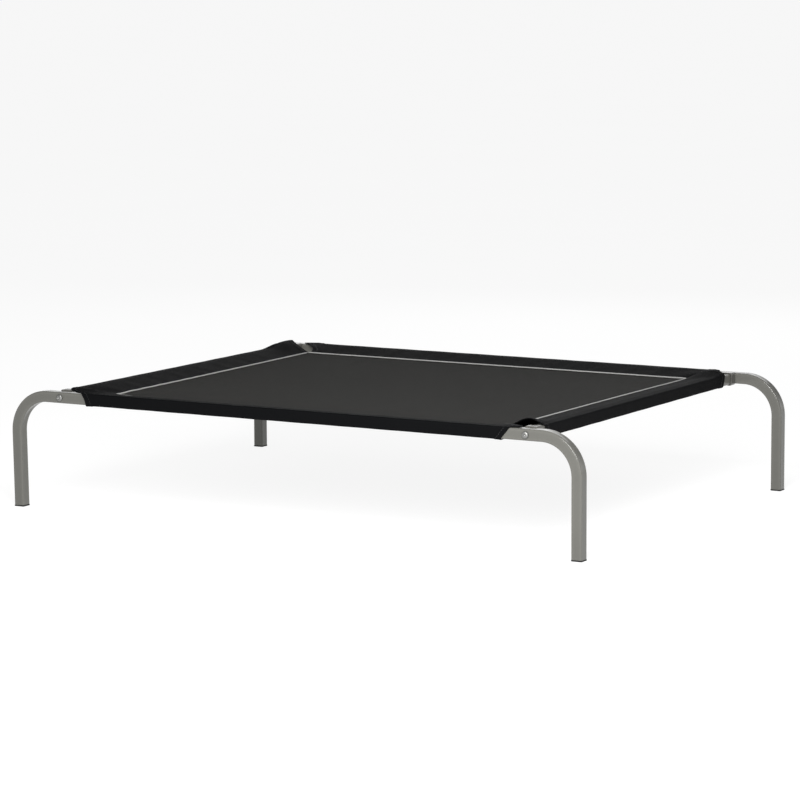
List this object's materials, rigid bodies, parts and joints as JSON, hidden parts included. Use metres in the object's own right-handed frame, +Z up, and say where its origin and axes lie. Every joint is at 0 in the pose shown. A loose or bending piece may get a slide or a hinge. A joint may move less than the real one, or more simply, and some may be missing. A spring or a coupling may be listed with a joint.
{
  "type": "raised pet bed",
  "caption": "Raised dog bed: bent square-tube frame whose long rails turn down into legs, bolted cross rails, and a dark fabric deck stretched over it by sleeves with pale piping.",
  "frame": {"origin": "centre of the footprint, on the floor", "axes": "+Z up; +X along the two long rails; +Y across the bed, from the front rail to the rear rail"},
  "size_m": [1.101, 0.7974, 0.2069],
  "materials": {
    "frame_paint": "satin powder coat, warm silver grey",
    "bolt_zinc": "bright zinc plate",
    "black_plastic": "matt moulded",
    "panel_fabric": "fine dark grey weave",
    "sleeve_fabric": "black coated weave",
    "piping_fabric": "pale grey piping"
  },
  "bodies": {
    "root": {"front_rail": "frame_paint", "rear_rail": "frame_paint", "left_cross_rail": "frame_paint", "right_cross_rail": "frame_paint", "front_left_socket": "frame_paint", "front_left_bolt": "bolt_zinc", "front_left_nut_plug": "black_plastic", "front_left_captive_nut": "bolt_zinc", "front_left_foot": "black_plastic", "front_right_socket": "frame_paint", "front_right_bolt": "bolt_zinc", "front_right_nut_plug": "black_plastic", "front_right_captive_nut": "bolt_zinc", "front_right_foot": "black_plastic", "rear_left_socket": "frame_paint", "rear_left_bolt": "bolt_zinc", "rear_left_nut_plug": "black_plastic", "rear_left_captive_nut": "bolt_zinc", "rear_left_foot": "black_plastic", "rear_right_socket": "frame_paint", "rear_right_bolt": "bolt_zinc", "rear_right_nut_plug": "black_plastic", "rear_right_captive_nut": "bolt_zinc", "rear_right_foot": "black_plastic", "deck_panel": "panel_fabric", "left_sleeve": "sleeve_fabric", "left_piping": "piping_fabric", "right_sleeve": "sleeve_fabric", "right_piping": "piping_fabric", "front_sleeve": "sleeve_fabric", "front_piping": "piping_fabric", "rear_sleeve": "sleeve_fabric", "rear_piping": "piping_fabric"}
  },
  "joints": []
}
